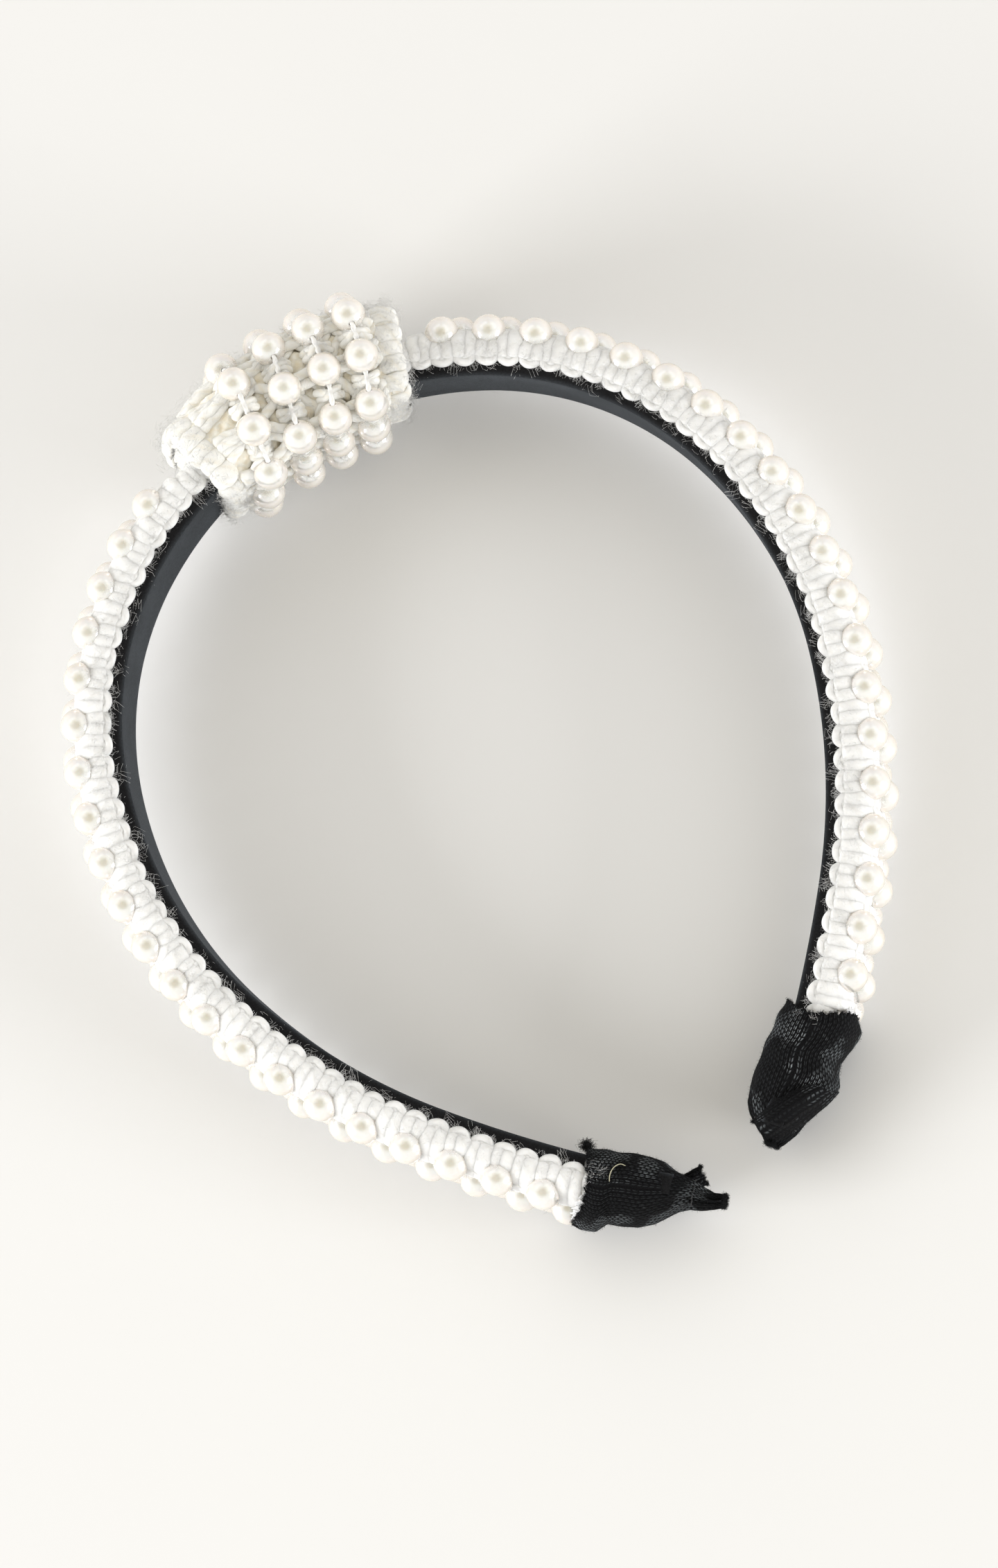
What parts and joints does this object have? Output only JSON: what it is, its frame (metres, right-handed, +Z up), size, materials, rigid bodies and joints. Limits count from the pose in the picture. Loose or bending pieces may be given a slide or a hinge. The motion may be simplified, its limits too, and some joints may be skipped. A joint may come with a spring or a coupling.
{
  "type": "hoop headband",
  "caption": "Curved hoop headband covered in ribbed crochet with rows of pearls, a pearl-wrapped knot at the crown and knitted caps on both tips.",
  "frame": {"origin": "middle of the bounding box on the plane the headband lies on", "axes": "+Y from the open tips to the knot at the crown, +X across the hoop to the right leg, +Z up through the width of the band as it lies on its side"},
  "size_m": [0.1379, 0.1655, 0.0297],
  "materials": {
    "hoop_plastic": "moulded satin",
    "lining_suede": "short-napped suede ribbon",
    "satin_ribbon": "satin weave",
    "foam_padding": "soft open foam",
    "crochet_yarn": "brushed fuzzy yarn",
    "pearl": "pearlescent",
    "beading_yarn": "twisted yarn",
    "cap_knit": "ribbed stretch knit",
    "cap_thread": "sewing thread",
    "hot_glue": "translucent hot glue"
  },
  "bodies": {
    "crown": {"crown_hoop": "hoop_plastic", "crown_lining": "lining_suede", "crown_backing_ribbon": "satin_ribbon", "crown_padding": "foam_padding", "crown_crochet_cover": "crochet_yarn", "crown_pearls_top": "pearl", "crown_pearls_middle": "pearl", "crown_pearls_bottom": "pearl", "knot_wrap": "crochet_yarn", "knot_selvedge_right": "crochet_yarn", "knot_selvedge_left": "crochet_yarn", "knot_glue_pad": "hot_glue", "knot_pearls_strand_1": "pearl", "knot_pearls_strand_2": "pearl", "knot_pearls_strand_3": "pearl", "knot_pearls_strand_4": "pearl", "knot_beading_yarn_1": "beading_yarn", "knot_beading_yarn_2": "beading_yarn", "knot_beading_yarn_3": "beading_yarn", "knot_beading_yarn_4": "beading_yarn"},
    "right_leg": {"right_hoop": "hoop_plastic", "right_lining": "lining_suede", "right_backing_ribbon": "satin_ribbon", "right_padding": "foam_padding", "right_crochet_cover": "crochet_yarn", "right_picot_edge_top": "crochet_yarn", "right_picot_edge_bottom": "crochet_yarn", "right_pearls_top": "pearl", "right_beading_yarn_top": "beading_yarn", "right_pearls_middle": "pearl", "right_beading_yarn_middle": "beading_yarn", "right_pearls_bottom": "pearl", "right_beading_yarn_bottom": "beading_yarn", "right_end_cap": "cap_knit", "right_cap_stitches": "cap_thread", "right_cap_glue": "hot_glue"},
    "left_leg": {"left_hoop": "hoop_plastic", "left_lining": "lining_suede", "left_backing_ribbon": "satin_ribbon", "left_padding": "foam_padding", "left_crochet_cover": "crochet_yarn", "left_picot_edge_top": "crochet_yarn", "left_picot_edge_bottom": "crochet_yarn", "left_pearls_top": "pearl", "left_beading_yarn_top": "beading_yarn", "left_pearls_middle": "pearl", "left_beading_yarn_middle": "beading_yarn", "left_pearls_bottom": "pearl", "left_beading_yarn_bottom": "beading_yarn", "left_end_cap": "cap_knit", "left_cap_stitches": "cap_thread", "left_cap_glue": "hot_glue"}
  },
  "joints": [
    {"name": "right_leg_spread", "type": "hinge", "parent": "crown", "child": "right_leg", "pos_m": [0.01906, 0.06192, 0.01466], "axis": [0, -0.0424, 0.9991], "range_deg": [-1.5, 18], "stiffness_Nm_per_rad": 0.9},
    {"name": "left_leg_spread", "type": "hinge", "parent": "crown", "child": "left_leg", "pos_m": [-0.01906, 0.06192, 0.01466], "axis": [0, 0.0424, -0.9991], "range_deg": [-1.5, 18], "stiffness_Nm_per_rad": 0.9}
  ]
}
